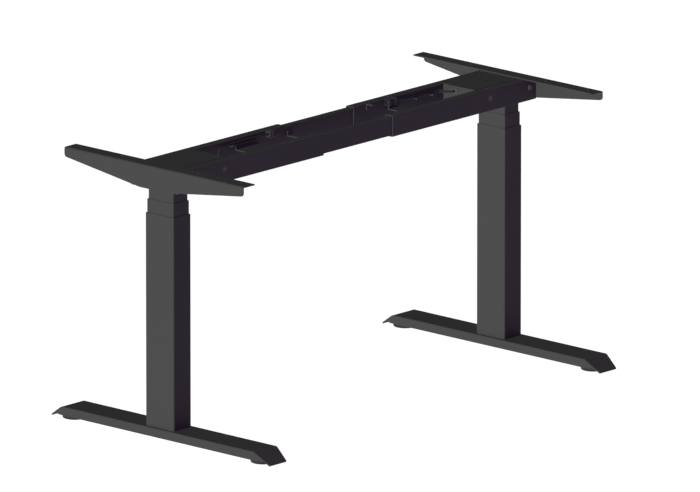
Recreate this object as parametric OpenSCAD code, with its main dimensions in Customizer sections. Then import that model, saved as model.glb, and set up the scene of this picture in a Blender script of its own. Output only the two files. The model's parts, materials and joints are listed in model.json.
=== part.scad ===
// Two-column height adjustable desk frame, three-stage legs, telescoping crossbeam.
// X runs along the crossbeam, Y from front to back, Z up. The origin is on the floor,
// midway between the two columns. A column's own coordinates have x pointing inward.

/* [Overall] */
// Distance between the axes of the two columns
column_spacing = 1155; // [1000:5:1400]
// Height of the bracket tops, where the desktop would lie
frame_height = 668; // [660:1:672]
// Rise of the beam bottom over the middle tube's rim
inner_exposed = 33; // [25:1:40]
// Rise of the middle tube's rim over the outer tube's rim
middle_exposed = 33; // [25:1:40]

/* [Columns] */
// Outer tube, across the crossbeam direction
outer_tube_w = 60; // [58:1:64]
// Outer tube, front to back
outer_tube_d = 90; // [88:1:96]
// Step per side from one tube to the next
tube_step = 2.5; // [2.3:0.1:2.8]
// Corner radius of the outer tube
tube_corner = 3; // [2:0.5:4]

/* [Feet] */
// Foot length, front to back
foot_length = 700; // [640:10:760]
// Foot width
foot_w = 78; // [70:1:80]
// Height of the foot's top face
foot_top = 32; // [30:1:36]
// Depth of the foot's side walls
foot_side = 21; // [18:1:22]
// Sheet thickness of the foot
foot_sheet = 3; // [2.5:0.5:3.5]
// Run of the sloping lip at each end
lip_run = 42; // [38:1:46]
// How far each side of the lip tapers in
lip_taper = 9; // [4:1:10]
// Diameter of the levelling pads
pad_d = 58; // [50:1:60]
// Height of the levelling pads
pad_h = 10; // [9:0.5:11]
// Pad centre to foot centre
pad_y = 301; // [296:1:302]

/* [Crossbeam] */
// Rail height
rail_h = 52; // [46:1:54]
// Rail width
rail_w = 25; // [24:1:28]
// Rail wall
rail_wall = 2; // [1.5:0.5:2]
// Gap between the two rails
trough_w = 100; // [98:1:104]
// Outer rail, from the column axis towards the middle
rail_inward = 457; // [440:1:470]
// Telescoping rail, all of it
slide_rail_length = 701; // [660:1:720]
// Head box, from the column axis towards the middle
head_inward = 142.5; // [140:0.5:150]

/* [Side brackets] */
// Bracket length, front to back
bracket_length = 570; // [540:10:600]
// Bracket web's outer face to the column axis
bracket_out = 50; // [48:1:54]
// Width of the bracket's top flange
flange_w = 40; // [36:1:44]
// Web depth at the column
web_depth = 56; // [52:1:58]
// Web depth at the ends
web_end_depth = 24; // [18:1:26]
// Bracket sheet
bracket_sheet = 3; // [2.5:0.5:3]
// Diameter of the desktop screw holes
desktop_hole_d = 7; // [6:0.5:9]
// Outer desktop screw holes, from the column axis
desktop_hole_far = 255; // [240:5:265]
// Inner desktop screw holes, from the column axis
desktop_hole_near = 120; // [100:5:140]

/* [Motor leads] */
// Diameter of the motor leads
lead_d = 6; // [5:0.5:7]

/* [Hidden] */

LEFT = 0;
RIGHT = 180;
cut = 1;              // how far a cutting body runs past the faces it opens
fine = 48;            // segments of a true circle

coat = "#3a3a3c";     // textured charcoal powder coat
coat_dark = "#2f2f31";
plastic = "#1d1d1f";
rubber = "#242426";
steel = "#b9bcc0";
zinc = "#8d9095";
bronze = "#b08d57";
nylon = "#d8d5c8";

// heights
column_x = column_spacing / 2;
flange_bottom = frame_height - bracket_sheet;
rail_top = flange_bottom;
rail_bottom = rail_top - rail_h;
middle_rim = rail_bottom - inner_exposed;
outer_rim = middle_rim - middle_exposed;
rim_h = 1;            // thickness of a glide's rim on top of its tube

// tube sections
outer_wall = 1.8;
middle_wall = 1.5;
inner_wall = 1.5;
middle_w = outer_tube_w - 2 * tube_step;
middle_d = outer_tube_d - 2 * tube_step;
inner_w = middle_w - 2 * tube_step;
inner_d = middle_d - 2 * tube_step;
middle_bottom = 60;
inner_bottom = 100;
glide_h = 40;
glide_play = 0.1;     // play between a glide and the tube that slides on it

// screw gear, all on the column axis
base_plate_h = 8;
base_plate_top = foot_top + base_plate_h;
inner_screw_r = 7;
hollow_screw_r = 12;
hollow_bore_r = 7.3;
push_tube_r = 16;
push_tube_bore_r = 12.4;
carrier_r = 20;
carrier_bore_r = 16.8;
thread_play = 0.06;   // radial play of a screw in its nut
push_tube_top = 500;
lower_nut_h = 18;
hub_bottom = 530;
hub_top = 545.6;
carrier_cap_bottom = 546;
carrier_top = 566;
inner_screw_bottom = 150;

// drive
worm_z = rail_bottom + 27;
worm_y = -24.5;
worm_r = 6.9;
wheel_r = 17.3;
wheel_h = 14;
wheel_teeth = 20;
shaft_r = 3;
rotor_r = 12;
shaft_play = 0.05;
head_sheet = 3;
head_floor = 4;
cover_sheet = 2;
gearbox_x0 = -21;
gearbox_x1 = 34;
gearbox_y0 = -35;
gearbox_y1 = 21;
gearbox_top = rail_bottom + 44;
motor_r = 20;
motor_end = 133;

// cable outlet in the head cover's end wall
outlet_y = -14.5;
outlet_z = rail_bottom + 39;
outlet_w = 22;
outlet_h = 12;

// crossbeam
rail_r = 3;
rail_y = trough_w / 2 + rail_w / 2;
slide_rail_h = 45;
slide_rail_w = 20;
slide_rail_wall = 1.5;
slide_rail_y = rail_y;
rail_outward = bracket_out - bracket_sheet;
brace_z = rail_bottom + 23.5;   // underside of the U-shaped braces
brace_sheet = 2.5;
brace_flange = 10;

// M8 screws that join rails, head and bracket
bolt_r = 4;
bolt_clear_r = 4.25;
bolt_head_r = 7;
bolt_head_h = 4;
sunk_head_r = 8;
sunk_head_h = 4;
bolt_out = 26;        // outer bolt, outward of the column axis
bolt_in = 114;        // inner bolt, inward of the column axis
bolt_z = rail_bottom + 31.5;
lock_x = [410, 436];  // set screws under the rails

// motor leads and their plugs, in the frame's own X, Y, Z
lead_sides = 10;
lead_steps = 3;       // rings between two route points
plug_w = 16;
plug_l = 30;
plug_left_x = -188;
plug_right_x = 258;
plug_y = trough_w / 2 - plug_w / 2;
plug_z = rail_bottom + 44.5;

left_route = [
    [-444.4, -14.5, 652], [-433, -14.5, 652], [-423, -13.5, 652.5], [-412, -8, 653.5],
    [-399, 3, 654.5], [-385, 15, 655], [-371, 27, 655], [-356, 37, 655], [-340, 43.5, 655],
    [-322, 46, 655], [-300, 46.5, 655], [-270, 46.5, 655.5], [-240, 46.5, 656],
    [-218, 45.5, 656.8], [-203, 43.2, 657.4], [-190, 42, 657.5], [-186, 42, 657.5]
];
right_route = [
    [444.4, 14.5, 652], [433, 14.5, 652], [427, 16.5, 651.8], [423.5, 24, 651],
    [421, 33, 650.5], [415, 41, 650.5], [405, 45.5, 650.5], [390, 46.5, 650.5],
    [370, 46.5, 651.2], [345, 46.5, 652], [320, 46.5, 652], [298, 46, 653.5],
    [278, 43.8, 656.3], [262, 42.1, 657.5], [256, 42, 657.5]
];

// ---------------------------------------------------------------- helpers

// puts a part drawn in column coordinates on the left or the right column
module place(side)
    rotate([0, 0, side]) translate([-column_x, 0, 0]) children();

// rectangle w by d with true round corners
module round_rect(w, d, r) {
    square([w - 2 * r, d], center = true);
    square([w, d - 2 * r], center = true);
    for (x = [-1, 1], y = [-1, 1])
        translate([x * (w / 2 - r), y * (d / 2 - r)]) circle(r = r, $fn = fine);
}

// upright rectangular pipe between two heights
module pipe(w, d, r, wall, z0, z1)
    translate([0, 0, z0]) linear_extrude(z1 - z0) difference() {
        round_rect(w, d, r);
        round_rect(w - 2 * wall, d - 2 * wall, max(r - wall, 0.6));
    }

// rectangular pipe lying along X
module rail(w, h, r, wall, x0, x1)
    translate([x0, 0, 0]) rotate([90, 0, 90]) linear_extrude(x1 - x0) difference() {
        round_rect(w, h, r);
        round_rect(w - 2 * wall, h - 2 * wall, max(r - wall, 0.6));
    }

module rod(r, z0, z1) translate([0, 0, z0]) cylinder(r = r, h = z1 - z0, $fn = fine);

module rod_x(r, x0, x1) translate([x0, 0, 0]) rotate([0, 90, 0]) rod(r, 0, x1 - x0);

// a rod along Y between distances near and far from the beam's axis, on side +1 or -1
module rod_y(r, side, near, far)
    translate([0, side > 0 ? near : -far, 0]) rotate([-90, 0, 0]) rod(r, 0, far - near);

module sleeve(r, bore, z0, z1) difference() {
    rod(r, z0, z1);
    rod(bore, z0 - cut, z1 + cut);
}

// ---------------------------------------------------------------- foot

lip_angle = atan2(foot_top - 4.5, lip_run);
lip_start = foot_length / 2 - lip_run;
foot_half = foot_length / 2;
wall_bottom = foot_top - foot_side;
foot_underside = foot_top - foot_sheet;
pad_nut_h = 13;       // weld nut that takes a pad's screw

// points of an arc that rounds the bend between the top and the lip, radius r,
// for the surface that lies depth below the outer one
function bend(depth, r) =
    let (run = r * tan(lip_angle / 2), y0 = lip_start - depth * tan(lip_angle / 2))
    [for (i = [0:6]) let (a = lip_angle * i / 6)
        [y0 - run + r * sin(a), foot_top - depth - r + r * cos(a)]];

// one half of the side view; depth moves it inward by the sheet thickness
function lip_underside_y(z, depth) =
    lip_start - depth * tan(lip_angle / 2) + (foot_top - depth - z) / tan(lip_angle);

tip_corner = 4;       // corner radius of the lips in plan
tip_y = foot_half - foot_sheet * sin(lip_angle);
tip_z = 4.5 - foot_sheet * cos(lip_angle);

function mirrored(points) = [for (p = points) [-p[0], p[1]]];
function reversed(points) = [for (i = [len(points) - 1:-1:0]) points[i]];
function both_ends(points) = concat(points, reversed(mirrored(points)));

foot_outside = both_ends(concat(
    [[lip_underside_y(wall_bottom, foot_sheet), wall_bottom], [tip_y, tip_z], [foot_half, 4.5]],
    reversed(bend(0, 15))));
foot_inside = both_ends(concat(
    [[lip_underside_y(-cut, foot_sheet), -cut]],
    reversed(bend(foot_sheet, 12))));

// plan of the foot or its cavity, half width w, tapered along the lips, round-cornered
function foot_plan(w) = let (taper_start = lip_start + 2, tip = w - lip_taper) both_ends(concat(
    [[w, 0], [w, taper_start]],
    [for (i = [0:3]) let (a = 30 * i)
        [tip - tip_corner + tip_corner * cos(a), foot_half - tip_corner + tip_corner * sin(a)]]));

// a side view polygon (y, z) extruded across the foot's width
module across(points, w)
    translate([-w / 2, 0, 0]) rotate([90, 0, 90]) linear_extrude(w) polygon(points);

module plan_block(w)
    linear_extrude(foot_top + 2 * cut)
        union() {
            polygon(foot_plan(w));
            mirror([0, 1]) polygon(foot_plan(w));
        }

// the bent sheet's rounded shoulders: a long block with round top edges
module shouldered(w, top, r)
    rotate([90, 0, 0]) linear_extrude(foot_length + 2 * cut, center = true)
        translate([0, top / 2 - 2 * r]) round_rect(w, top + 4 * r, r);

module foot() color(coat) difference() {
    union() {
        difference() {
            intersection() {
                across(foot_outside, foot_w);
                plan_block(foot_w / 2);
                shouldered(foot_w, foot_top, 2.5);
            }
            intersection() {
                across(foot_inside, foot_w - 2 * foot_sheet);
                translate([0, 0, -2 * cut]) plan_block(foot_w / 2 - foot_sheet);
            }
        }
        // weld nuts for the levelling screws
        for (y = [-pad_y, pad_y]) translate([0, y, 0])
            rod(7, foot_underside - pad_nut_h, foot_underside + 0.5);
    }
    for (y = [-pad_y, pad_y]) translate([0, y, 0])
        rod(bolt_r + 0.05, foot_underside - pad_nut_h - cut, foot_underside);
    for (x = [-18, 18], y = [-30, 30]) translate([x, y, 0])
        rod(bolt_clear_r, foot_underside - cut, foot_top + cut);
}

module foot_bolts() color(zinc)
    for (x = [-18, 18], y = [-30, 30]) translate([x, y, 0]) {
        rod(bolt_r - 0.05, foot_underside, foot_top + base_plate_h - 1);
        translate([0, 0, foot_underside - 5]) cylinder(r = 7.5, h = 5, $fn = 6);
    }

module tube_base_plate() color(zinc) difference() {
    translate([0, 0, foot_top]) linear_extrude(base_plate_h)
        round_rect(outer_tube_w - 2 * outer_wall, outer_tube_d - 2 * outer_wall, 1.4);
    for (x = [-18, 18], y = [-30, 30]) translate([x, y, 0])
        rod(bolt_r, foot_top - cut, base_plate_top + cut);
}

// a levelling pad with its screw; side is -1 at the front and 1 at the rear
module level_pad(side) translate([0, side * pad_y, 0]) {
    color(rubber) rotate_extrude($fn = fine) polygon([
        [0, 0], [pad_d / 2 - 1.5, 0], [pad_d / 2, 1.5], [pad_d / 2, pad_h - 1.5],
        [pad_d / 2 - 1.5, pad_h], [bolt_r, pad_h], [bolt_r, 4], [0, 4]]);
    color(zinc) rod(bolt_r, 4, foot_underside - 5.5);
}

// ---------------------------------------------------------------- column, fixed stage

module outer_tube() color(coat)
    pipe(outer_tube_w, outer_tube_d, tube_corner, outer_wall, foot_top, outer_rim - rim_h);

// plastic collar in the mouth of a tube: outside w by d, wall thick, rim on top
module collar(w, d, wall, rim_w, rim_d, top) {
    pipe(w, d, 1.4, wall, top - rim_h - glide_h, top - rim_h);
    pipe(rim_w, rim_d, tube_corner, (rim_w - w) / 2 + wall, top - rim_h, top);
}

module outer_glide() color(plastic)
    collar(outer_tube_w - 2 * outer_wall, outer_tube_d - 2 * outer_wall,
        tube_step - outer_wall - glide_play, outer_tube_w, outer_tube_d, outer_rim);

module push_tube() color(steel) sleeve(push_tube_r, push_tube_bore_r, base_plate_top, push_tube_top);

module lower_nut() color(nylon)
    sleeve(push_tube_r, hollow_screw_r + thread_play, push_tube_top, push_tube_top + lower_nut_h);

// ---------------------------------------------------------------- column, middle stage

module middle_tube() color(coat)
    pipe(middle_w, middle_d, tube_corner - 0.25, middle_wall, middle_bottom, middle_rim - rim_h);

module middle_glides() color(plastic) {
    collar(middle_w - 2 * middle_wall, middle_d - 2 * middle_wall,
        tube_step - middle_wall - glide_play, middle_w, middle_d, middle_rim);
    // shoe around the foot of the tube, which slides in the outer tube
    pipe(outer_tube_w - 2 * outer_wall - 2 * glide_play, outer_tube_d - 2 * outer_wall - 2 * glide_play,
        3, tube_step - outer_wall - glide_play, middle_bottom, middle_bottom + 30);
}

// plate across the middle tube's foot with a tube that carries the screw bearing
module carrier_tube() color(zinc) difference() {
    union() {
        translate([0, 0, middle_bottom]) linear_extrude(8)
            round_rect(middle_w - 2 * middle_wall, middle_d - 2 * middle_wall, 1.4);
        rod(carrier_r, middle_bottom, carrier_top);
    }
    rod(carrier_bore_r, middle_bottom - cut, carrier_cap_bottom);
    rod(hollow_screw_r, middle_bottom, carrier_top + cut);
}

module upper_nut() color(nylon) {
    sleeve(hollow_screw_r, inner_screw_r + thread_play, carrier_cap_bottom, carrier_top);
    sleeve(carrier_r, inner_screw_r + thread_play, carrier_top, carrier_top + 4);
}

// outer screw with a long keyed bore and a hub that turns in the carrier's bearing
module hollow_screw() color(steel) difference() {
    union() {
        rod(hollow_screw_r, middle_bottom + 35, hub_top);
        rod(15, hub_bottom, hub_top);
    }
    rod(hollow_bore_r, middle_bottom, hub_top + cut);
}

// ---------------------------------------------------------------- column, top stage

module inner_tube() color(coat)
    pipe(inner_w, inner_d, tube_corner - 0.5, inner_wall, inner_bottom, rail_bottom);

module inner_glide() color(plastic)
    pipe(middle_w - 2 * middle_wall - 2 * glide_play, middle_d - 2 * middle_wall - 2 * glide_play,
        2.6, tube_step - middle_wall - glide_play, inner_bottom, inner_bottom + 30);

module inner_screw() color(steel) rod(inner_screw_r, inner_screw_bottom, gearbox_top - 3.5);

// ---------------------------------------------------------------- head and drive

module bolt_places() for (x = [-bolt_out, bolt_in]) translate([x, 0, bolt_z]) children();

module head_channel() color(coat) difference() {
    union() {
        translate([-rail_outward, -trough_w / 2, rail_bottom])
            cube([rail_outward + head_inward, trough_w, head_floor]);
        for (s = [-1, 1]) translate([-rail_outward, s * (trough_w - head_sheet) / 2 - head_sheet / 2,
            rail_bottom]) cube([rail_outward + head_inward, head_sheet, rail_h - cover_sheet]);
        // weld nuts of the inner bolts
        for (s = [-1, 1]) translate([bolt_in, 0, bolt_z])
            rod_y(bolt_head_r, s, trough_w / 2 - head_sheet - 2, trough_w / 2 - 1);
    }
    for (s = [-1, 1]) translate([-bolt_out, 0, bolt_z])
        rod_y(bolt_clear_r, s, trough_w / 2 - head_sheet - cut, trough_w / 2 + cut);
    for (s = [-1, 1]) translate([bolt_in, 0, bolt_z])
        rod_y(bolt_r + 0.05, s, trough_w / 2 - head_sheet - 3, trough_w / 2 + cut);
    rod(inner_screw_r + 2, rail_bottom - cut, rail_bottom + head_floor + cut);
}

// opening with round ends through the cover's end wall, w wide and h high
module outlet(w, h, x0, x1) translate([x0, outlet_y, outlet_z])
    rotate([90, 0, 90]) linear_extrude(x1 - x0) round_rect(w, h, h / 2 - 0.01);

module head_cover() color(coat) difference() {
    union() {
        translate([-rail_outward, -trough_w / 2, rail_top - cover_sheet])
            cube([rail_outward + head_inward, trough_w, cover_sheet]);
        translate([head_inward - cover_sheet, -trough_w / 2 + head_sheet + 0.2, rail_bottom + head_floor])
            cube([cover_sheet, trough_w - 2 * head_sheet - 0.4, rail_h - head_floor - cover_sheet / 2]);
    }
    outlet(outlet_w, outlet_h, head_inward - cover_sheet - cut, head_inward + cut);
}

module cable_grommet() color(plastic) difference() {
    union() {
        outlet(outlet_w - 0.2, outlet_h - 0.2, head_inward - cover_sheet - 1.5, head_inward + 1.5);
        outlet(outlet_w + 3, outlet_h + 3, head_inward, head_inward + 1.5);
        outlet(outlet_w + 3, outlet_h + 3, head_inward - cover_sheet - 1.5, head_inward - cover_sheet);
    }
    translate([0, outlet_y, outlet_z]) rod_x(lead_d / 2 + 0.3, head_inward - 10, head_inward + 10);
}

module gearbox() color(steel) difference() {
    translate([gearbox_x0, gearbox_y0, rail_bottom + head_floor])
        cube([gearbox_x1 - gearbox_x0, gearbox_y1 - gearbox_y0, gearbox_top - rail_bottom - head_floor]);
    rod(inner_screw_r + shaft_play, rail_bottom, gearbox_top - 3);
    rod(wheel_r + 0.7, worm_z - wheel_h / 2 - 1, worm_z + wheel_h / 2 + 1);
    translate([0, worm_y, worm_z]) {
        rod_x(worm_r + 1.1, gearbox_x0 + 7, gearbox_x1 - 4);
        rod_x(shaft_r + shaft_play, gearbox_x0 + 1.5, gearbox_x1 + cut);
    }
}

module worm_wheel() color(bronze) difference() {
    rod(wheel_r, worm_z - wheel_h / 2, worm_z + wheel_h / 2);
    rod(inner_screw_r + 0.02, worm_z - wheel_h, worm_z + wheel_h);
    for (i = [0:wheel_teeth - 1]) rotate([0, 0, (i + 0.5) * 360 / wheel_teeth])
        translate([wheel_r - 3, -1.3, worm_z - wheel_h]) cube([6, 2.6, 2 * wheel_h]);
}

// motor shaft with the worm at its end and the rotor on it
module worm_shaft() color(steel) translate([0, worm_y, worm_z]) {
    rod_x(shaft_r, gearbox_x0 + 2, motor_end - 3);
    rod_x(worm_r, gearbox_x0 + 9, gearbox_x1 - 14);
    rod_x(rotor_r, gearbox_x1 + 26, motor_end - 33);
}

module motor() color(coat_dark) translate([0, worm_y, worm_z]) difference() {
    rod_x(motor_r, gearbox_x1, motor_end);
    rod_x(motor_r - 3, gearbox_x1 + 4, motor_end - 8);
    rod_x(shaft_r + shaft_play, gearbox_x1 - cut, motor_end - 2.5);
}

// ---------------------------------------------------------------- crossbeam

// U-shaped brace between the rails of one pair, flanges up, from x0 to x1
module brace(x0, x1, span) translate([x0, 0, brace_z]) {
    translate([0, -span / 2, 0]) cube([x1 - x0, span, brace_sheet]);
    for (s = [-1, 1]) translate([0, s * (span - brace_sheet) / 2 - brace_sheet / 2, 0])
        cube([x1 - x0, brace_sheet, brace_flange + brace_sheet]);
}

// cone of a countersunk head whose face lies flush at y = 0
module sunk_head(s, play) rotate([-s * 90, 0, 0]) translate([0, 0, -sunk_head_h])
    cylinder(r1 = bolt_r + play, r2 = sunk_head_r + play, h = sunk_head_h, $fn = fine);

module outer_rails() color(coat) {
    for (s = [-1, 1]) difference() {
        translate([0, s * rail_y, rail_top - rail_h / 2])
            rail(rail_w, rail_h, rail_r, rail_wall, -rail_outward, rail_inward);
        bolt_places() rod_y(bolt_clear_r, s, trough_w / 2 - cut, trough_w / 2 + rail_w + cut);
        translate([bolt_in, s * (trough_w / 2 + rail_w), bolt_z]) sunk_head(s, 0.15);
        for (x = lock_x) translate([x, s * rail_y, 0])
            rod(bolt_r + 0.05, rail_bottom - cut, rail_bottom + rail_wall + 0.2);
    }
}

// bent strip on the rear rail that holds a lead down; reach is its top arm
module cable_hook(x, y, reach, drop) translate([x, 0, 0]) {
    translate([0, y - brace_sheet, rail_top - drop]) cube([10, brace_sheet, drop]);
    translate([0, y - reach, rail_top - brace_sheet]) cube([10, reach, brace_sheet]);
}

// shelf that a lead rests on, welded to the rear rail's inner face
module cable_shelf(x, z) translate([x, trough_w / 2 - 12, z - 2]) {
    cube([10, 12, 2]);
    cube([10, 1.5, 5]);
}

module outer_rails_left() {
    place(LEFT) outer_rails();
    color(coat) {
        brace(-292, -212, trough_w);
        cable_shelf(-312, 655 - lead_d / 2);
    }
}

module outer_rails_right() {
    place(RIGHT) outer_rails();
    color(coat) {
        brace(240, 275, trough_w);
        cable_hook(163, trough_w / 2, 21, 15);
        cable_shelf(385, 650.5 - lead_d / 2);
        cable_shelf(328, 652 - lead_d / 2);
    }
}

module telescoping_rails() color(coat) {
    for (s = [-1, 1]) translate([0, s * slide_rail_y, rail_top - rail_h / 2])
        rail(slide_rail_w, slide_rail_h, 2, slide_rail_wall, -slide_rail_length / 2, slide_rail_length / 2);
    brace(-109, -91, 2 * slide_rail_y - slide_rail_w);
}

// round-headed screw pointing along +Z, its head's underside at z = 0, shank down to -length
module button_screw(length) difference() {
    rotate_extrude($fn = fine) polygon(concat(
        [[0, -length], [bolt_r, -length], [bolt_r, 0], [bolt_head_r, 0], [bolt_head_r, 1]],
        [for (i = [1:5]) let (a = 15 * i)
            [bolt_head_r - 3 + 3 * cos(a), 1 + (bolt_head_h - 1) * sin(a)]],
        [[0, bolt_head_h]]));
    translate([0, 0, bolt_head_h - 2.5]) cylinder(r = 2.9, h = 5, $fn = 6);
}

// button-head screws into the bracket, countersunk ones into the head, and flush
// set screws under the outer rails that clamp the telescoping rails
module frame_bolts() color(zinc) for (s = [-1, 1]) {
    translate([-bolt_out, s * (trough_w / 2 + rail_w), bolt_z])
        rotate([-s * 90, 0, 0]) button_screw(rail_w + 11);
    difference() {
        translate([bolt_in, s * (trough_w / 2 + rail_w), bolt_z]) union() {
            sunk_head(s, 0);
            rotate([-s * 90, 0, 0]) rod(bolt_r, -rail_w - head_sheet - 1.5, -sunk_head_h / 2);
        }
        translate([bolt_in, s * (trough_w / 2 + rail_w), bolt_z]) rotate([-s * 90, 0, 0])
            translate([0, 0, -3]) cylinder(r = 2.9, h = 5, $fn = 6);
    }
    for (x = lock_x) translate([x, s * rail_y, rail_bottom]) difference() {
        rod(bolt_r, 0, rail_wall + 0.4);
        translate([0, 0, -cut]) cylinder(r = 2.3, h = cut + 1.6, $fn = 6);
    }
}

// ---------------------------------------------------------------- side bracket

bracket_half = bracket_length / 2;
web_flat = 45;        // half length of the web's full depth
web_corner = 8;       // radius of the web's lower end corners
bracket_bend = 5;     // outer radius of the bend between web and flange

function web_outline() = both_ends(concat(
    [[web_flat, frame_height - web_depth]],
    [for (i = [0:4]) let (a = -80 + 80 * i / 4)
        [bracket_half - web_corner + web_corner * cos(a),
         frame_height - web_end_depth + web_corner + web_corner * sin(a)]],
    [[bracket_half, frame_height]]));

// L section with a round outer bend, drawn (x, z) with the web at x = 0
module bracket_section() {
    translate([0, frame_height - web_depth]) square([bracket_sheet, web_depth - bracket_bend]);
    translate([bracket_bend, flange_bottom]) square([flange_w - bracket_bend, bracket_sheet]);
    difference() {
        translate([bracket_bend, frame_height - bracket_bend]) circle(r = bracket_bend, $fn = fine);
        translate([bracket_bend, 0]) square(frame_height);
        translate([0, frame_height - 3 * bracket_bend]) square([flange_w, 2 * bracket_bend]);
        translate([bracket_sheet, flange_bottom - flange_w]) square(flange_w);
    }
}

module side_bracket() color(coat) {
    difference() {
        intersection() {
            translate([-bracket_out, bracket_half, 0]) rotate([90, 0, 0])
                linear_extrude(bracket_length) bracket_section();
            translate([-bracket_out - cut, 0, 0]) rotate([90, 0, 90])
                linear_extrude(flange_w + 2 * cut) polygon(web_outline());
        }
        for (y = [-desktop_hole_far, -desktop_hole_near, desktop_hole_near, desktop_hole_far])
            translate([-bracket_out + flange_w / 2 + 2, y, 0])
                rod(desktop_hole_d / 2, flange_bottom - cut, frame_height + cut);
    }
    // ears inside the head channel, with weld nuts for the outer bolts
    for (s = [-1, 1]) difference() {
        union() {
            translate([-rail_outward, s * (trough_w / 2 - head_sheet - 1.5) - 1.5, rail_bottom + 14])
                cube([rail_outward - 10, 3, 32]);
            translate([-bolt_out, 0, bolt_z])
                rod_y(bolt_head_r, s, trough_w / 2 - head_sheet - 10, trough_w / 2 - head_sheet - 2);
        }
        translate([-bolt_out, 0, bolt_z])
            rod_y(bolt_r + 0.05, s, trough_w / 2 - 20, trough_w / 2);
    }
}

// ---------------------------------------------------------------- motor leads

function curve_point(a, b, c, d, t) =
    0.5 * (2 * b + (c - a) * t + (2 * a - 5 * b + 4 * c - d) * t * t
        + (3 * b - a - 3 * c + d) * t * t * t);

function curve(p) = let (n = len(p)) concat(
    [for (i = [0:n - 2], k = [0:lead_steps - 1])
        curve_point(p[max(i - 1, 0)], p[i], p[i + 1], p[min(i + 2, n - 1)], k / lead_steps)],
    [p[n - 1]]);

function unit(v) = v / norm(v);

// ring of points round a path's point i
function ring(path, i) =
    let (n = len(path), along = unit(path[min(i + 1, n - 1)] - path[max(i - 1, 0)]),
        side = unit(cross([0, 0, 1], along)), up = cross(along, side))
    [for (k = [0:lead_sides - 1]) let (a = 360 * k / lead_sides)
        path[i] + lead_d / 2 * (cos(a) * side + sin(a) * up)];

module lead(route) {
    path = curve(route);
    n = len(path);
    m = lead_sides;
    polyhedron(
        points = [for (i = [0:n - 1], p = ring(path, i)) p],
        faces = concat(
            [[for (k = [m - 1:-1:0]) k]],
            [for (i = [0:n - 2], k = [0:m - 1])
                [i * m + k, i * m + (k + 1) % m, (i + 1) * m + (k + 1) % m, (i + 1) * m + k]],
            [[for (k = [0:m - 1]) (n - 1) * m + k]]));
}

// plug body along X, its cable end at x = 0 and its mating face at x = plug_l
module plug() color(plastic) difference() {
    rotate([90, 0, 90]) linear_extrude(plug_l) round_rect(plug_w, plug_w, 1.5);
    rod_x(lead_d / 2 + 0.2, -cut, 3);
    translate([plug_l - 9, 0, 0]) rotate([90, 0, 90]) linear_extrude(10)
        round_rect(plug_w - 4, plug_w - 4, 1);
}

// contacts standing in the plug's mouth
module plug_pins() color(bronze)
    for (y = [-3, 0, 3], z = [-2, 2]) translate([plug_l - 9, y - 0.6, z - 0.6]) cube([6, 1.2, 1.2]);

// ---------------------------------------------------------------- nodes

module foot_left() place(LEFT) foot();
module foot_bolts_left() place(LEFT) foot_bolts();
module tube_base_plate_left() place(LEFT) tube_base_plate();
module outer_tube_left() place(LEFT) outer_tube();
module outer_glide_left() place(LEFT) outer_glide();
module push_tube_left() place(LEFT) push_tube();
module lower_nut_left() place(LEFT) lower_nut();
module level_pad_front_left() place(LEFT) level_pad(-1);
module level_pad_rear_left() place(LEFT) level_pad(1);
module middle_tube_left() place(LEFT) middle_tube();
module middle_glides_left() place(LEFT) middle_glides();
module carrier_tube_left() place(LEFT) carrier_tube();
module upper_nut_left() place(LEFT) upper_nut();
module hollow_screw_left() place(LEFT) hollow_screw();
module inner_tube_left() place(LEFT) inner_tube();
module inner_glide_left() place(LEFT) inner_glide();
module head_channel_left() place(LEFT) head_channel();
module head_cover_left() place(LEFT) head_cover();
module motor_left() place(LEFT) motor();
module gearbox_left() place(LEFT) gearbox();
module side_bracket_left() place(LEFT) side_bracket();
module frame_bolts_left() place(LEFT) frame_bolts();
module cable_grommet_left() place(LEFT) cable_grommet();
module motor_lead_left() color(plastic) lead(left_route);
module lead_plug_left() translate([plug_left_x, plug_y, plug_z]) {
    plug();
    plug_pins();
}
module inner_screw_left() place(LEFT) inner_screw();
module worm_wheel_left() place(LEFT) worm_wheel();
module worm_shaft_left() place(LEFT) worm_shaft();

module foot_right() place(RIGHT) foot();
module foot_bolts_right() place(RIGHT) foot_bolts();
module tube_base_plate_right() place(RIGHT) tube_base_plate();
module outer_tube_right() place(RIGHT) outer_tube();
module outer_glide_right() place(RIGHT) outer_glide();
module push_tube_right() place(RIGHT) push_tube();
module lower_nut_right() place(RIGHT) lower_nut();
// the right column is turned half round, so its own +y is the front
module level_pad_front_right() place(RIGHT) level_pad(1);
module level_pad_rear_right() place(RIGHT) level_pad(-1);
module middle_tube_right() place(RIGHT) middle_tube();
module middle_glides_right() place(RIGHT) middle_glides();
module carrier_tube_right() place(RIGHT) carrier_tube();
module upper_nut_right() place(RIGHT) upper_nut();
module hollow_screw_right() place(RIGHT) hollow_screw();
module inner_tube_right() place(RIGHT) inner_tube();
module inner_glide_right() place(RIGHT) inner_glide();
module head_channel_right() place(RIGHT) head_channel();
module head_cover_right() place(RIGHT) head_cover();
module motor_right() place(RIGHT) motor();
module gearbox_right() place(RIGHT) gearbox();
module side_bracket_right() place(RIGHT) side_bracket();
module frame_bolts_right() place(RIGHT) frame_bolts();
module cable_grommet_right() place(RIGHT) cable_grommet();
module motor_lead_right() color(plastic) lead(right_route);
module lead_plug_right() translate([plug_right_x, plug_y, plug_z]) rotate([0, 0, 180]) {
    plug();
    plug_pins();
}
module inner_screw_right() place(RIGHT) inner_screw();
module worm_wheel_right() place(RIGHT) worm_wheel();
module worm_shaft_right() place(RIGHT) worm_shaft();

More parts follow.
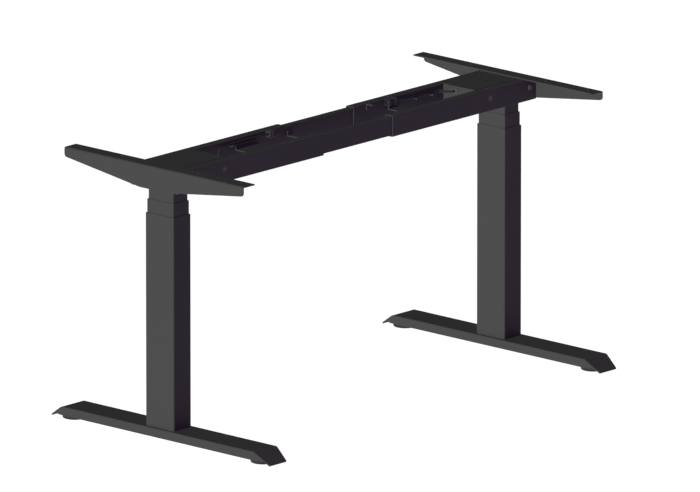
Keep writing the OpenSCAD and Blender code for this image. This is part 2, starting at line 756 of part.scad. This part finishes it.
foot_left();
foot_bolts_left();
tube_base_plate_left();
outer_tube_left();
outer_glide_left();
push_tube_left();
lower_nut_left();
level_pad_front_left();
level_pad_rear_left();
middle_tube_left();
middle_glides_left();
carrier_tube_left();
upper_nut_left();
hollow_screw_left();
inner_tube_left();
inner_glide_left();
head_channel_left();
head_cover_left();
motor_left();
gearbox_left();
side_bracket_left();
outer_rails_left();
frame_bolts_left();
cable_grommet_left();
motor_lead_left();
lead_plug_left();
inner_screw_left();
worm_wheel_left();
worm_shaft_left();
foot_right();
foot_bolts_right();
tube_base_plate_right();
outer_tube_right();
outer_glide_right();
push_tube_right();
lower_nut_right();
level_pad_front_right();
level_pad_rear_right();
middle_tube_right();
middle_glides_right();
carrier_tube_right();
upper_nut_right();
hollow_screw_right();
inner_tube_right();
inner_glide_right();
head_channel_right();
head_cover_right();
motor_right();
gearbox_right();
side_bracket_right();
outer_rails_right();
frame_bolts_right();
cable_grommet_right();
motor_lead_right();
lead_plug_right();
inner_screw_right();
worm_wheel_right();
worm_shaft_right();
telescoping_rails();
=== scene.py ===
import json
import math

import bmesh
import bpy
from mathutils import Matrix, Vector


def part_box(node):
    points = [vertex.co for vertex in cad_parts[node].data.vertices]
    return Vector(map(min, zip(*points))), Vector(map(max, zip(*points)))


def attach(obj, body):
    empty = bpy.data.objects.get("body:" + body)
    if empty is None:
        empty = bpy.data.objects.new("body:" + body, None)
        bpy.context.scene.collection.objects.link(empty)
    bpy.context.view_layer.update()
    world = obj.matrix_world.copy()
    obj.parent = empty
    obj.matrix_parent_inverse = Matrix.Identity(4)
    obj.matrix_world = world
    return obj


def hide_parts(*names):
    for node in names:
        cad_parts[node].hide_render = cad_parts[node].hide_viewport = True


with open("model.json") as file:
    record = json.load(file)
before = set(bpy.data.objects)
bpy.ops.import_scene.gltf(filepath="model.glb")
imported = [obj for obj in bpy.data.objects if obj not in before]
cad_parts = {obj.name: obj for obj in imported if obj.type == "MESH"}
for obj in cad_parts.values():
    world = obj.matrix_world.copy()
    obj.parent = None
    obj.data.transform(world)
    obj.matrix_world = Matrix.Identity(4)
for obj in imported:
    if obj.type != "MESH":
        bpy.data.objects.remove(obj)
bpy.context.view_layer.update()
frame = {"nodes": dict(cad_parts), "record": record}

SIDES = ("left", "right")
MM = 0.001

# ------------------------------------------------------------------ camera

AZIMUTH = math.radians(-47.536)
ELEVATION = math.radians(14.430)
VIEW_WIDTH = 1.65117      # metres across the picture at the desk
LENS, SENSOR = 1200.0, 36.0
AIM_RIGHT, AIM_UP = 0.03557, 0.34673      # middle of the picture, in metres from the origin
AIM_DEPTH = -0.083        # where VIEW_WIDTH holds, in metres beyond the origin
CLIP = (1.0, 200.0)


def make_camera():
    """Adds a very long lens, so that the desk shows almost in parallel projection."""
    right = Vector((math.cos(AZIMUTH), math.sin(AZIMUTH), 0))
    back = Vector((math.sin(AZIMUTH) * math.cos(ELEVATION),
                   -math.cos(AZIMUTH) * math.cos(ELEVATION), math.sin(ELEVATION)))
    up = back.cross(right)
    distance = VIEW_WIDTH * LENS / SENSOR
    cam = bpy.data.objects.new("camera", bpy.data.cameras.new("camera"))
    cam.data.lens, cam.data.sensor_width = LENS, SENSOR
    cam.data.sensor_fit = "HORIZONTAL"
    cam.data.clip_start, cam.data.clip_end = CLIP
    cam.location = right * AIM_RIGHT + up * AIM_UP + back * (distance - AIM_DEPTH)
    cam.rotation_mode = "QUATERNION"
    cam.rotation_quaternion = (-back).to_track_quat("-Z", "Y")
    bpy.context.scene.collection.objects.link(cam)
    bpy.context.scene.camera = cam


make_camera()

# ------------------------------------------------------------------ material nodes

MIX_COLORS_IN, MIX_COLOR_OUT = (6, 7), 2      # colour sockets of the Mix node
RIM_FLAT, RIM_SHARP = 0.995, 0.85             # cosines where an edge mask is 0 and 1


class Nodes:
    """A material's node tree with short calls for the nodes used here."""

    def __init__(self, name):
        self.material = bpy.data.materials.new(name)
        self.material.use_nodes = True
        self.tree = self.material.node_tree
        self.shader = self.tree.nodes["Principled BSDF"]

    def add(self, kind, inputs=None, **settings):
        """Adds a node. Each input is linked if it is a socket, and set if it is a value."""
        node = self.tree.nodes.new("ShaderNode" + kind)
        for key, value in settings.items():
            setattr(node, key, value)
        for key, value in (inputs or {}).items():
            if isinstance(value, bpy.types.NodeSocket):
                self.tree.links.new(value, node.inputs[key])
            else:
                node.inputs[key].default_value = value
        return node

    def place(self, stretch=(1, 1, 1)):
        """The object's own coordinates, in metres times stretch."""
        where = self.add("TexCoord").outputs["Object"]
        return self.add("Mapping", {"Vector": where, "Scale": stretch}).outputs["Vector"]

    def noise(self, scale, detail=3.0, rough=0.5, stretch=(1, 1, 1)):
        """Cloudy noise, with about scale features to a metre."""
        return self.add("TexNoise", {"Vector": self.place(stretch), "Scale": scale,
                                     "Detail": detail, "Roughness": rough}).outputs["Fac"]

    def cells(self, scale):
        """Distance to the middle of the nearest cell, with about scale cells to a metre."""
        return self.add("TexVoronoi", {"Vector": self.place(), "Scale": scale}).outputs["Distance"]

    def ramp(self, value, low, high, out_low=0.0, out_high=1.0):
        """Maps value from low..high to out_low..out_high, held beyond the ends."""
        return self.add("MapRange", {"Value": value, "From Min": low, "From Max": high,
                                     "To Min": out_low, "To Max": out_high}).outputs["Result"]

    def mix(self, factor, a, b):
        """Colour a where factor is 0 and b where it is 1."""
        node = self.add("Mix", {"Factor": factor}, data_type="RGBA")
        for index, value in zip(MIX_COLORS_IN, (a, b)):
            if isinstance(value, bpy.types.NodeSocket):
                self.tree.links.new(value, node.inputs[index])
            else:
                node.inputs[index].default_value = (*value, 1.0)
        return node.outputs[MIX_COLOR_OUT]

    def math(self, operation, a, b=0.0):
        return self.add("Math", {0: a, 1: b}, operation=operation).outputs[0]

    def soft_edge(self, radius):
        """Normal that rounds sharp edges, and a mask that is 1 on those edges."""
        rounded = self.add("Bevel", {"Radius": radius}, samples=6).outputs["Normal"]
        flat = self.add("NewGeometry").outputs["Normal"]
        dot = self.add("VectorMath", {0: rounded, 1: flat}, operation="DOT_PRODUCT")
        return rounded, self.ramp(dot.outputs["Value"], RIM_FLAT, RIM_SHARP)

    def bump(self, height, strength, distance, normal=None):
        """Normal that follows the height, on top of another normal if one is given."""
        inputs = {"Height": height, "Strength": strength, "Distance": distance}
        if normal is not None:
            inputs["Normal"] = normal
        return self.add("Bump", inputs).outputs["Normal"]

    def finish(self, color, roughness, normal, **fixed):
        """Links the three sockets and sets the others, whose names have _ for a space."""
        for key, value in (("Base Color", color), ("Roughness", roughness), ("Normal", normal)):
            self.tree.links.new(value, self.shader.inputs[key])
        for key, value in fixed.items():
            self.shader.inputs[key.replace("_", " ")].default_value = value
        return self.material


def shade(color, factor):
    """The colour made lighter or darker."""
    return tuple(min(1.0, c * factor) for c in color)


def powder_coat(name, color, edge_highlight_color, rough=0.62, specular=0.25, edge_radius=0.0008):
    """Fine textured powder coat: pebbled grain, faint cloudiness, a painted highlight in patches
    along sharp edges, and less roughness there.
    """
    n = Nodes(name)
    grain = n.noise(scale=1500, detail=2.0, rough=0.55)
    pebble = n.cells(scale=620)
    cloud = n.noise(scale=9, detail=4.0, rough=0.6)
    streaks = n.noise(scale=38, detail=8.0, rough=0.68, stretch=(1, 1, 0.35))
    scuff = n.ramp(streaks, 0.60, 0.74)
    rounded, rim = n.soft_edge(edge_radius)
    patches = n.ramp(n.noise(scale=70, detail=5.0), 0.35, 0.65, out_low=0.35)
    # mask of the painted edge highlight, in patches; the same edges are also made less rough
    painted_edge_highlight = n.math("MULTIPLY", rim, patches)
    body = n.mix(cloud, shade(color, 0.93), shade(color, 1.07))
    body = n.mix(n.ramp(grain, 0.35, 0.75, out_high=0.35), body, shade(color, 1.35))
    body = n.mix(n.math("MULTIPLY", scuff, 0.12), body, shade(color, 1.6))
    # painted highlight: sharp edges paler, in patches
    body = n.mix(n.math("MULTIPLY", painted_edge_highlight, 0.55), body, edge_highlight_color)
    matt = n.ramp(cloud, 0.3, 0.7, rough - 0.03, rough + 0.04)
    matt = n.math("SUBTRACT", matt, n.math("MULTIPLY", painted_edge_highlight, 0.12))
    height = n.math("ADD", n.math("MULTIPLY", grain, 0.6), pebble)
    normal = n.bump(height, strength=0.28, distance=0.00025, normal=rounded)
    return n.finish(body, matt, normal, Specular_IOR_Level=specular)


def moulded(name, color, rough, grain_size=0.0006, specular=0.35):
    """Moulded plastic with a fine spark-eroded grain, and a painted highlight on slightly glossier
    edges.
    """
    n = Nodes(name)
    grain = n.noise(scale=1 / grain_size, detail=2.0)
    cloud = n.noise(scale=25)
    rounded, rim = n.soft_edge(radius=0.0005)
    body = n.mix(cloud, shade(color, 0.9), shade(color, 1.1))
    # painted highlight: sharp edges paler
    body = n.mix(n.math("MULTIPLY", rim, 0.4), body, shade(color, 1.7))
    matt = n.ramp(grain, 0.3, 0.7, rough - 0.05, rough + 0.05)
    matt = n.math("SUBTRACT", matt, n.math("MULTIPLY", rim, 0.1))
    normal = n.bump(grain, strength=0.2, distance=0.0001, normal=rounded)
    return n.finish(body, matt, normal, Specular_IOR_Level=specular)


def sheath(name, color):
    """Cable sheath: soft PVC with a fine grain and a dusty sheen."""
    n = Nodes(name)
    grain = n.noise(scale=1100, detail=2.0)
    cloud = n.noise(scale=30)
    body = n.mix(cloud, shade(color, 0.85), shade(color, 1.15))
    matt = n.ramp(cloud, 0.3, 0.7, 0.42, 0.52)
    normal = n.bump(grain, strength=0.15, distance=0.0001)
    return n.finish(body, matt, normal, Specular_IOR_Level=0.4, Sheen_Weight=0.05,
                    Sheen_Roughness=0.5)


def machined(name, color, rough, stretch):
    """Metal with tool marks that run across the stretched direction."""
    n = Nodes(name)
    lines = n.noise(scale=420, rough=0.6, stretch=stretch)
    cloud = n.noise(scale=18, detail=4.0)
    rounded, rim = n.soft_edge(radius=0.0004)
    body = n.mix(cloud, shade(color, 0.88), shade(color, 1.08))
    # painted highlight: sharp edges paler
    body = n.mix(n.math("MULTIPLY", rim, 0.5), body, shade(color, 1.25))
    matt = n.ramp(lines, 0.3, 0.7, rough - 0.07, rough + 0.09)
    normal = n.bump(lines, strength=0.25, distance=0.0001, normal=rounded)
    return n.finish(body, matt, normal, Metallic=1.0)


def zinc_plate(name, color):
    """Zinc plate: cloudy crystals and a slightly dull, greyish shine."""
    n = Nodes(name)
    crystal = n.cells(scale=240)
    cloud = n.noise(scale=40, detail=5.0)
    rounded, rim = n.soft_edge(radius=0.0004)
    body = n.mix(crystal, shade(color, 0.85), shade(color, 1.1))
    # painted highlight: sharp edges paler
    body = n.mix(n.math("MULTIPLY", rim, 0.4), body, shade(color, 1.2))
    matt = n.ramp(cloud, 0.3, 0.7, 0.3, 0.46)
    normal = n.bump(crystal, strength=0.1, distance=0.0001, normal=rounded)
    return n.finish(body, matt, normal, Metallic=1.0)


def cast(name, color):
    """Die-cast aluminium with a pebbled skin."""
    n = Nodes(name)
    skin = n.cells(scale=500)
    cloud = n.noise(scale=22, detail=5.0)
    rounded, rim = n.soft_edge(radius=0.0008)
    body = n.mix(cloud, shade(color, 0.85), shade(color, 1.05))
    matt = n.ramp(cloud, 0.3, 0.7, 0.46, 0.58)
    matt = n.math("SUBTRACT", matt, n.math("MULTIPLY", rim, 0.12))
    normal = n.bump(skin, strength=0.35, distance=0.0002, normal=rounded)
    return n.finish(body, matt, normal, Metallic=0.9)


# one finish for each material slot of the record; each edge colour is the painted highlight on
# sharp edges
MATERIALS = {
    "charcoal_coat": powder_coat("charcoal_powder_coat", (0.0480, 0.0480, 0.0485),
                                 edge_highlight_color=(0.11, 0.11, 0.115)),
    "motor_coat": powder_coat("motor_paint", (0.03, 0.03, 0.032), edge_highlight_color=(0.07, 0.07, 0.07),
                              rough=0.42, specular=0.4),
    "black_oxide_steel": powder_coat("black_oxide", (0.055, 0.055, 0.057),
                                     edge_highlight_color=(0.09, 0.09, 0.093), rough=0.42, specular=0.4,
                                     edge_radius=0.0003),
    "black_plastic": moulded("black_nylon", (0.060, 0.060, 0.0605), rough=0.55, specular=0.3),
    "pad_plastic": moulded("pad_plastic", (0.034, 0.034, 0.035), rough=0.66,
                           grain_size=0.0009, specular=0.25),
    "plug_plastic": moulded("plug_plastic", (0.036, 0.036, 0.037), rough=0.55, specular=0.3),
    "nylon": moulded("natural_nylon", (0.62, 0.60, 0.53), rough=0.42),
    "cable_sheath": sheath("cable_sheath", (0.018, 0.018, 0.019)),
    "zinc_steel": zinc_plate("zinc_plate", (0.55, 0.57, 0.60)),
    "screw_steel": machined("screw_steel", (0.50, 0.50, 0.51), rough=0.30, stretch=(1, 1, 6)),
    "wheel_bronze": machined("wheel_bronze", (0.58, 0.38, 0.17), rough=0.30,
                             stretch=(1, 1, 4)),
    "gearbox_aluminium": cast("gearbox_casting", (0.58, 0.59, 0.60)),
}
CONTACT = machined("plug_contact", (0.30, 0.27, 0.21), rough=0.4, stretch=(5, 1, 1))


def dress_cad():
    """Gives every CAD node the finish of its slot in the record."""
    for part in frame["record"]["subparts"]:
        node = frame["nodes"][part["node"]]
        for slot in node.material_slots:
            slot.material = MATERIALS[part["material_slot"]]


dress_cad()

# ------------------------------------------------------------------ mesh helpers


def piece(name, bm, materials, angle=35):
    """Turns a bmesh into an object, smooth across edges below angle, in degrees."""
    bmesh.ops.recalc_face_normals(bm, faces=bm.faces)
    mesh = bpy.data.meshes.new(name)
    bm.to_mesh(mesh)
    bm.free()
    obj = bpy.data.objects.new(name, mesh)
    bpy.context.scene.collection.objects.link(obj)
    for material in materials:
        mesh.materials.append(material)
    mesh.polygons.foreach_set("use_smooth", [True] * len(mesh.polygons))
    mesh.set_sharp_from_angle(angle=math.radians(angle))
    return obj


def loft(bm, rings, material=0):
    """Skins a list of rings of equal length and closes the first and last ring."""
    rows = [[bm.verts.new(p) for p in ring] for ring in rings]
    count = len(rows[0])
    faces = [bm.faces.new((a[i], a[(i + 1) % count], b[(i + 1) % count], b[i]))
             for a, b in zip(rows, rows[1:]) for i in range(count)]
    faces.append(bm.faces.new(rows[0][::-1]))
    faces.append(bm.faces.new(rows[-1]))
    for face in faces:
        face.material_index = material


def axes_for(axis):
    """Two directions square to axis, so that (u, v, axis) is right-handed."""
    axis = Vector(axis).normalized()
    side = Vector((0, 0, 1)) if abs(axis.z) < 0.9 else Vector((1, 0, 0))
    u = side.cross(axis).normalized()
    return u, axis.cross(u), axis


def disc_rings(origin, axis, profile, count):
    """Rings round an axis. profile holds (distance along, radius) pairs, and a radius may be
    a function of the angle."""
    u, v, w = axes_for(axis)
    origin = Vector(origin)
    rings = []
    for along, radius in profile:
        ring = []
        for i in range(count):
            a = 2 * math.pi * i / count
            r = radius(a) if callable(radius) else radius
            ring.append(origin + w * along + (u * math.cos(a) + v * math.sin(a)) * r)
        rings.append(ring)
    return rings


CORNER_STEPS = 5          # straight pieces in each round corner


def rounded_rectangle(width, height, corner):
    """Outline points of a rectangle with round corners, centred on (0, 0)."""
    points = []
    for k, (sx, sy) in enumerate(((1, 1), (-1, 1), (-1, -1), (1, -1))):
        for i in range(CORNER_STEPS + 1):
            a = math.pi / 2 * (k + i / CORNER_STEPS)
            points.append((sx * (width / 2 - corner) + corner * math.cos(a),
                           sy * (height / 2 - corner) + corner * math.sin(a)))
    return points


def box_rings(origin, sign, profile):
    """Rounded rectangles along X or, where sign is -1, against it.

    profile holds (distance along, width, height, corner radius).
    """
    return [[origin + Vector((sign * along, y, z)) for y, z in rounded_rectangle(w, h, c)]
            for along, w, h, c in profile]


# ------------------------------------------------------------------ motor leads

LEAD_R = 3.0 * MM
LEAD_SIDES = 20
LEAD_STEPS = 6            # rings between two points of a route

# in millimetres, from the motor through the grommet and over the shelves to the plug
ROUTES = {
    "left": [
        (-444.4, -14.5, 652), (-433, -14.5, 652), (-423, -13.5, 652.5), (-412, -8, 653.5),
        (-399, 3, 654.5), (-385, 15, 655), (-371, 27, 655), (-356, 37, 655), (-340, 43.5, 655),
        (-322, 46, 655), (-300, 46.5, 655), (-270, 46.5, 655.5), (-240, 46.5, 656),
        (-218, 45.5, 656.8), (-203, 43.2, 657.4), (-190, 42, 657.5), (-186, 42, 657.5)],
    "right": [
        (444.4, 14.5, 652), (433, 14.5, 652), (427, 16.5, 651.8), (423.5, 24, 651),
        (421, 33, 650.5), (415, 41, 650.5), (405, 45.5, 650.5), (390, 46.5, 650.5),
        (370, 46.5, 651.2), (345, 46.5, 652), (320, 46.5, 652), (298, 46, 653.5),
        (278, 43.8, 656.3), (262, 42.1, 657.5), (256, 42, 657.5)],
}


def smooth_path(points):
    """Catmull-Rom curve through the points, in metres."""
    p = [Vector(q) * MM for q in points]
    out = []
    for i in range(len(p) - 1):
        a, b, c, d = p[max(i - 1, 0)], p[i], p[i + 1], p[min(i + 2, len(p) - 1)]
        for k in range(LEAD_STEPS):
            t = k / LEAD_STEPS
            out.append(0.5 * (2 * b + (c - a) * t + (2 * a - 5 * b + 4 * c - d) * t * t
                              + (3 * b - a - 3 * c + d) * t ** 3))
    return out + [p[-1]]


def tube_rings(path, radius, sides):
    """Rings along a path, carried along it without twist."""
    side = axes_for(path[1] - path[0])[0]
    rings = []
    for i, centre in enumerate(path):
        along = (path[min(i + 1, len(path) - 1)] - path[max(i - 1, 0)]).normalized()
        side = (side - along * side.dot(along)).normalized()
        up = along.cross(side)
        rings.append([centre + (side * math.cos(2 * math.pi * k / sides)
                                + up * math.sin(2 * math.pi * k / sides)) * radius
                      for k in range(sides)])
    return rings


def motor_lead(side):
    """Round cable from the motor to its plug."""
    path = smooth_path(ROUTES[side])
    bm = bmesh.new()
    loft(bm, tube_rings(path, LEAD_R, LEAD_SIDES))
    lead = piece(f"lead_{side}", bm, [MATERIALS["cable_sheath"]])
    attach(lead, f"top_{side}")
    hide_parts(f"motor_lead_{side}")


for side in SIDES:
    motor_lead(side)

# ------------------------------------------------------------------ plugs

CORNER = 1.8 * MM         # corner radius of the shell
WALL = 1.8 * MM
TRIM = 0.8 * MM           # how much narrower the shell's ends are
GROOVES = 4
FIRST_GROOVE, GROOVE_PITCH = 4.2, 2.4         # in millimetres from the cable's end
GROOVE_DEPTH = 1.2 * MM   # both sides together
MOUTH_DEPTH = 9 * MM
CORE_WIDTH, CORE_HEIGHT, CORE_CORNER = 8.4 * MM, 6.4 * MM, 0.6 * MM      # block in the mouth
CORE_TIP = 6.8 * MM       # length of the block that carries the contacts
PIN_Y, PIN_Z = (-2.6, 0, 2.6), (-1.6, 1.6)    # contacts, in millimetres from the middle
PIN_WIDTH, PIN_TIP_WIDTH = 1.1 * MM, 0.6 * MM


def plug_shell(w, length):
    """Profile of the shell: cable collar, back, grip grooves, lip and open mouth."""
    inner = w - 2 * WALL
    profile = [(3.0 * MM, 6.6 * MM, 6.6 * MM, 3.2 * MM),
               (0.3 * MM, 6.8 * MM, 6.8 * MM, 3.3 * MM),
               (0, 7.6 * MM, 7.6 * MM, 3.4 * MM),
               (0, 12.5 * MM, 12.5 * MM, 2.4 * MM),
               (0.9 * MM, w - TRIM, w - TRIM, 2.0 * MM),
               (1.8 * MM, w, w, CORNER)]
    narrow = w - GROOVE_DEPTH
    for k in range(GROOVES):
        at = (FIRST_GROOVE + GROOVE_PITCH * k) * MM
        profile += [(at, w, w, CORNER),
                    (at + 0.3 * MM, narrow, narrow, 1.5 * MM),
                    (at + 1.1 * MM, narrow, narrow, 1.5 * MM),
                    (at + 1.4 * MM, w, w, CORNER)]
    return profile + [(length - 0.5 * MM, w, w, 1.4 * MM),
                      (length, w - TRIM, w - TRIM, 1.2 * MM),
                      (length, inner + 0.6 * MM, inner + 0.6 * MM, 1.1 * MM),
                      (length - 0.5 * MM, inner, inner, 0.9 * MM),
                      (length - MOUTH_DEPTH, inner, inner, 0.9 * MM)]


def plug(side):
    """Square shell with grip grooves, and a block with contacts in its open mouth."""
    low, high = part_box(f"lead_plug_{side}")
    sign = 1 if side == "left" else -1
    cable_end = low.x if sign > 0 else high.x
    origin = Vector((cable_end, (low.y + high.y) / 2, (low.z + high.z) / 2))
    length = high.x - low.x
    mouth = length - MOUTH_DEPTH
    tip = mouth + CORE_TIP
    core = [(mouth, CORE_WIDTH, CORE_HEIGHT, CORE_CORNER),
            (mouth + 6.4 * MM, CORE_WIDTH, CORE_HEIGHT, CORE_CORNER),
            (tip, 7.8 * MM, 5.8 * MM, 0.4 * MM)]
    pin = [(tip, PIN_WIDTH, PIN_WIDTH, 0.15 * MM),
           (mouth + 8.0 * MM, PIN_WIDTH, PIN_WIDTH, 0.15 * MM),
           (mouth + 8.4 * MM, PIN_TIP_WIDTH, PIN_TIP_WIDTH, 0.1 * MM)]
    bm = bmesh.new()
    loft(bm, box_rings(origin, sign, plug_shell(high.y - low.y, length)))
    loft(bm, box_rings(origin, sign, core))
    for y in PIN_Y:
        for z in PIN_Z:
            loft(bm, box_rings(origin + Vector((0, y * MM, z * MM)), sign, pin), material=1)
    shell = piece(f"plug_{side}", bm, [MATERIALS["plug_plastic"], CONTACT], 40)
    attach(shell, f"top_{side}")
    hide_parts(f"lead_plug_{side}")


for side in SIDES:
    plug(side)

# ------------------------------------------------------------------ levelling pads

UP = (0, 0, 1)
PAD_TOP = 10 * MM
PAD_RIBS = 48
RIB_POINTS = 4            # outline points on each rib
RIB_DEPTH = 0.45 * MM
STUD_R = 4.0 * MM
STUD_BOTTOM = 4.5 * MM
THREAD_DEPTH, THREAD_PITCH = 0.65 * MM, 1.25 * MM
THREAD_SIDES, THREAD_STEPS = 24, 8            # points round the stud, rings in one turn
STUD_END = 1.6            # chamfer at the stud's ends, in thread depths


def stud_rings(origin, start, stop):
    """Rings of the stud, whose surface is a screw thread between start and stop."""
    def wall(along):
        def radius(a):
            phase = (along / THREAD_PITCH - a / (2 * math.pi)) % 1.0
            return STUD_R - THREAD_DEPTH * min(1.0, max(0.0, 3 * abs(phase - 0.5) - 0.25))
        return radius

    end_radius = STUD_R - STUD_END * THREAD_DEPTH
    count = max(2, round((stop - start) / THREAD_PITCH * THREAD_STEPS))
    profile = [(start, end_radius)]
    for k in range(count + 1):
        at = start + 0.5 * THREAD_PITCH + (stop - start - THREAD_PITCH) * k / count
        profile.append((at, wall(at)))
    profile.append((stop, end_radius))
    return disc_rings(origin, UP, profile, THREAD_SIDES)


def level_pad(side, end):
    """Moulded pad with a ribbed rim, a recessed underside and a threaded stud."""
    node = f"level_pad_{end}_{side}"
    low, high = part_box(node)
    origin = Vector(((low.x + high.x) / 2, (low.y + high.y) / 2, low.z))
    r = (high.x - low.x) / 2

    def ribbed(a):
        return r - RIB_DEPTH * (0.5 - 0.5 * math.cos(PAD_RIBS * a))

    profile = [(0.6 * MM, r - 7 * MM), (0.6 * MM, r - 5 * MM), (0, r - 4.4 * MM),
               (0, r - 1.8 * MM), (0.5 * MM, r - 0.8 * MM), (1.3 * MM, ribbed),
               (4.6 * MM, ribbed), (5.0 * MM, r - 0.5 * MM), (8.5 * MM, r - 0.6 * MM),
               (9.4 * MM, r - 1.0 * MM), (9.9 * MM, r - 2.0 * MM), (PAD_TOP, r - 3.2 * MM),
               (PAD_TOP, 9 * MM), (PAD_TOP - 1 * MM, 8.6 * MM), (PAD_TOP - 1 * MM, 4.4 * MM)]
    bm = bmesh.new()
    loft(bm, disc_rings(origin, UP, profile, PAD_RIBS * RIB_POINTS))
    loft(bm, stud_rings(origin, STUD_BOTTOM, high.z - low.z), material=1)
    pad = piece(f"pad_{end}_{side}", bm, [MATERIALS["pad_plastic"], MATERIALS["zinc_steel"]], 30)
    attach(pad, f"pad_{end}_{side}")
    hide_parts(node)


for side in SIDES:
    for end in ("front", "rear"):
        level_pad(side, end)

# ------------------------------------------------------------------ light and floor

KEY = 3.75                # light from the left, a little above the horizon
FILL = 0.555              # faint violet light from the front
BACK = 2.9                # light from behind and a little below
TOP = 0.92                # light from straight above
FLOOR_GLOW = 0.35         # how brightly the floor lights the desk
DOME_GLOW = 0.03          # how brightly the room lights the desk
WHITE = (1.0, 1.0, 1.0)
VIOLET = (0.8, 0.16, 1.1)
FLOOR_HALF = 25.0         # half the floor's width, in metres


def sun(name, energy, color, azimuth, elevation, angle, glossy=True):
    """A soft sun without shadows that shines from azimuth and elevation, in degrees.

    angle is its width in the sky. glossy says whether the desk mirrors it.
    """
    a, e = math.radians(azimuth), math.radians(elevation)
    back = Vector((math.sin(a) * math.cos(e), -math.cos(a) * math.cos(e), math.sin(e)))
    light = bpy.data.objects.new(name, bpy.data.lights.new(name, "SUN"))
    light.data.energy, light.data.color, light.data.angle = energy, color, math.radians(angle)
    light.data.use_shadow = False
    light.visible_glossy = glossy
    light.rotation_mode = "QUATERNION"
    light.rotation_quaternion = back.to_track_quat("Z", "Y")
    bpy.context.scene.collection.objects.link(light)


def make_floor():
    """Pale floor that the camera sees as white, and that lights the desk less than that."""
    n = Nodes("pale_floor")
    cloud = n.noise(scale=0.8, detail=2.0)
    grain = n.noise(scale=90, detail=2.0)
    color = n.mix(cloud, (0.10, 0.10, 0.10), (0.12, 0.12, 0.12))
    seen = n.add("LightPath").outputs["Is Camera Ray"]
    n.shader.inputs["Emission Color"].default_value = (*WHITE, 1)
    n.tree.links.new(n.ramp(seen, 0, 1, FLOOR_GLOW, 1.0), n.shader.inputs["Emission Strength"])
    normal = n.bump(grain, strength=0.02, distance=0.0002)
    material = n.finish(color, n.ramp(cloud, 0, 1, 0.9, 0.95), normal, Specular_IOR_Level=0.0)
    bm = bmesh.new()
    bm.faces.new([bm.verts.new((x * FLOOR_HALF, y * FLOOR_HALF, 0))
                  for x, y in ((-1, -1), (1, -1), (1, 1), (-1, 1))])
    piece("floor", bm, [material])


def make_world():
    """Room that the camera sees as white, and that lights the desk only faintly."""
    world = bpy.data.worlds.new("studio")
    world.use_nodes = True
    bpy.context.scene.world = world
    nodes, links = world.node_tree.nodes, world.node_tree.links
    seen = nodes.new("ShaderNodeLightPath")
    mix = nodes.new("ShaderNodeMixShader")
    lit, shown = nodes["Background"], nodes.new("ShaderNodeBackground")
    for background, strength in ((lit, DOME_GLOW), (shown, 1.0)):
        background.inputs["Color"].default_value = (*WHITE, 1)
        background.inputs["Strength"].default_value = strength
    links.new(seen.outputs["Is Camera Ray"], mix.inputs[0])
    links.new(lit.outputs[0], mix.inputs[1])
    links.new(shown.outputs[0], mix.inputs[2])
    links.new(mix.outputs[0], nodes["World Output"].inputs["Surface"])


sun("key", KEY, WHITE, azimuth=-94, elevation=2, angle=20, glossy=False)
sun("fill", FILL, VIOLET, azimuth=0, elevation=0, angle=40, glossy=False)
sun("back", BACK, WHITE, azimuth=135, elevation=-8, angle=20, glossy=False)
sun("top", TOP, WHITE, azimuth=0, elevation=90, angle=20)
make_floor()
make_world()
bpy.context.scene.view_settings.view_transform = "Standard"
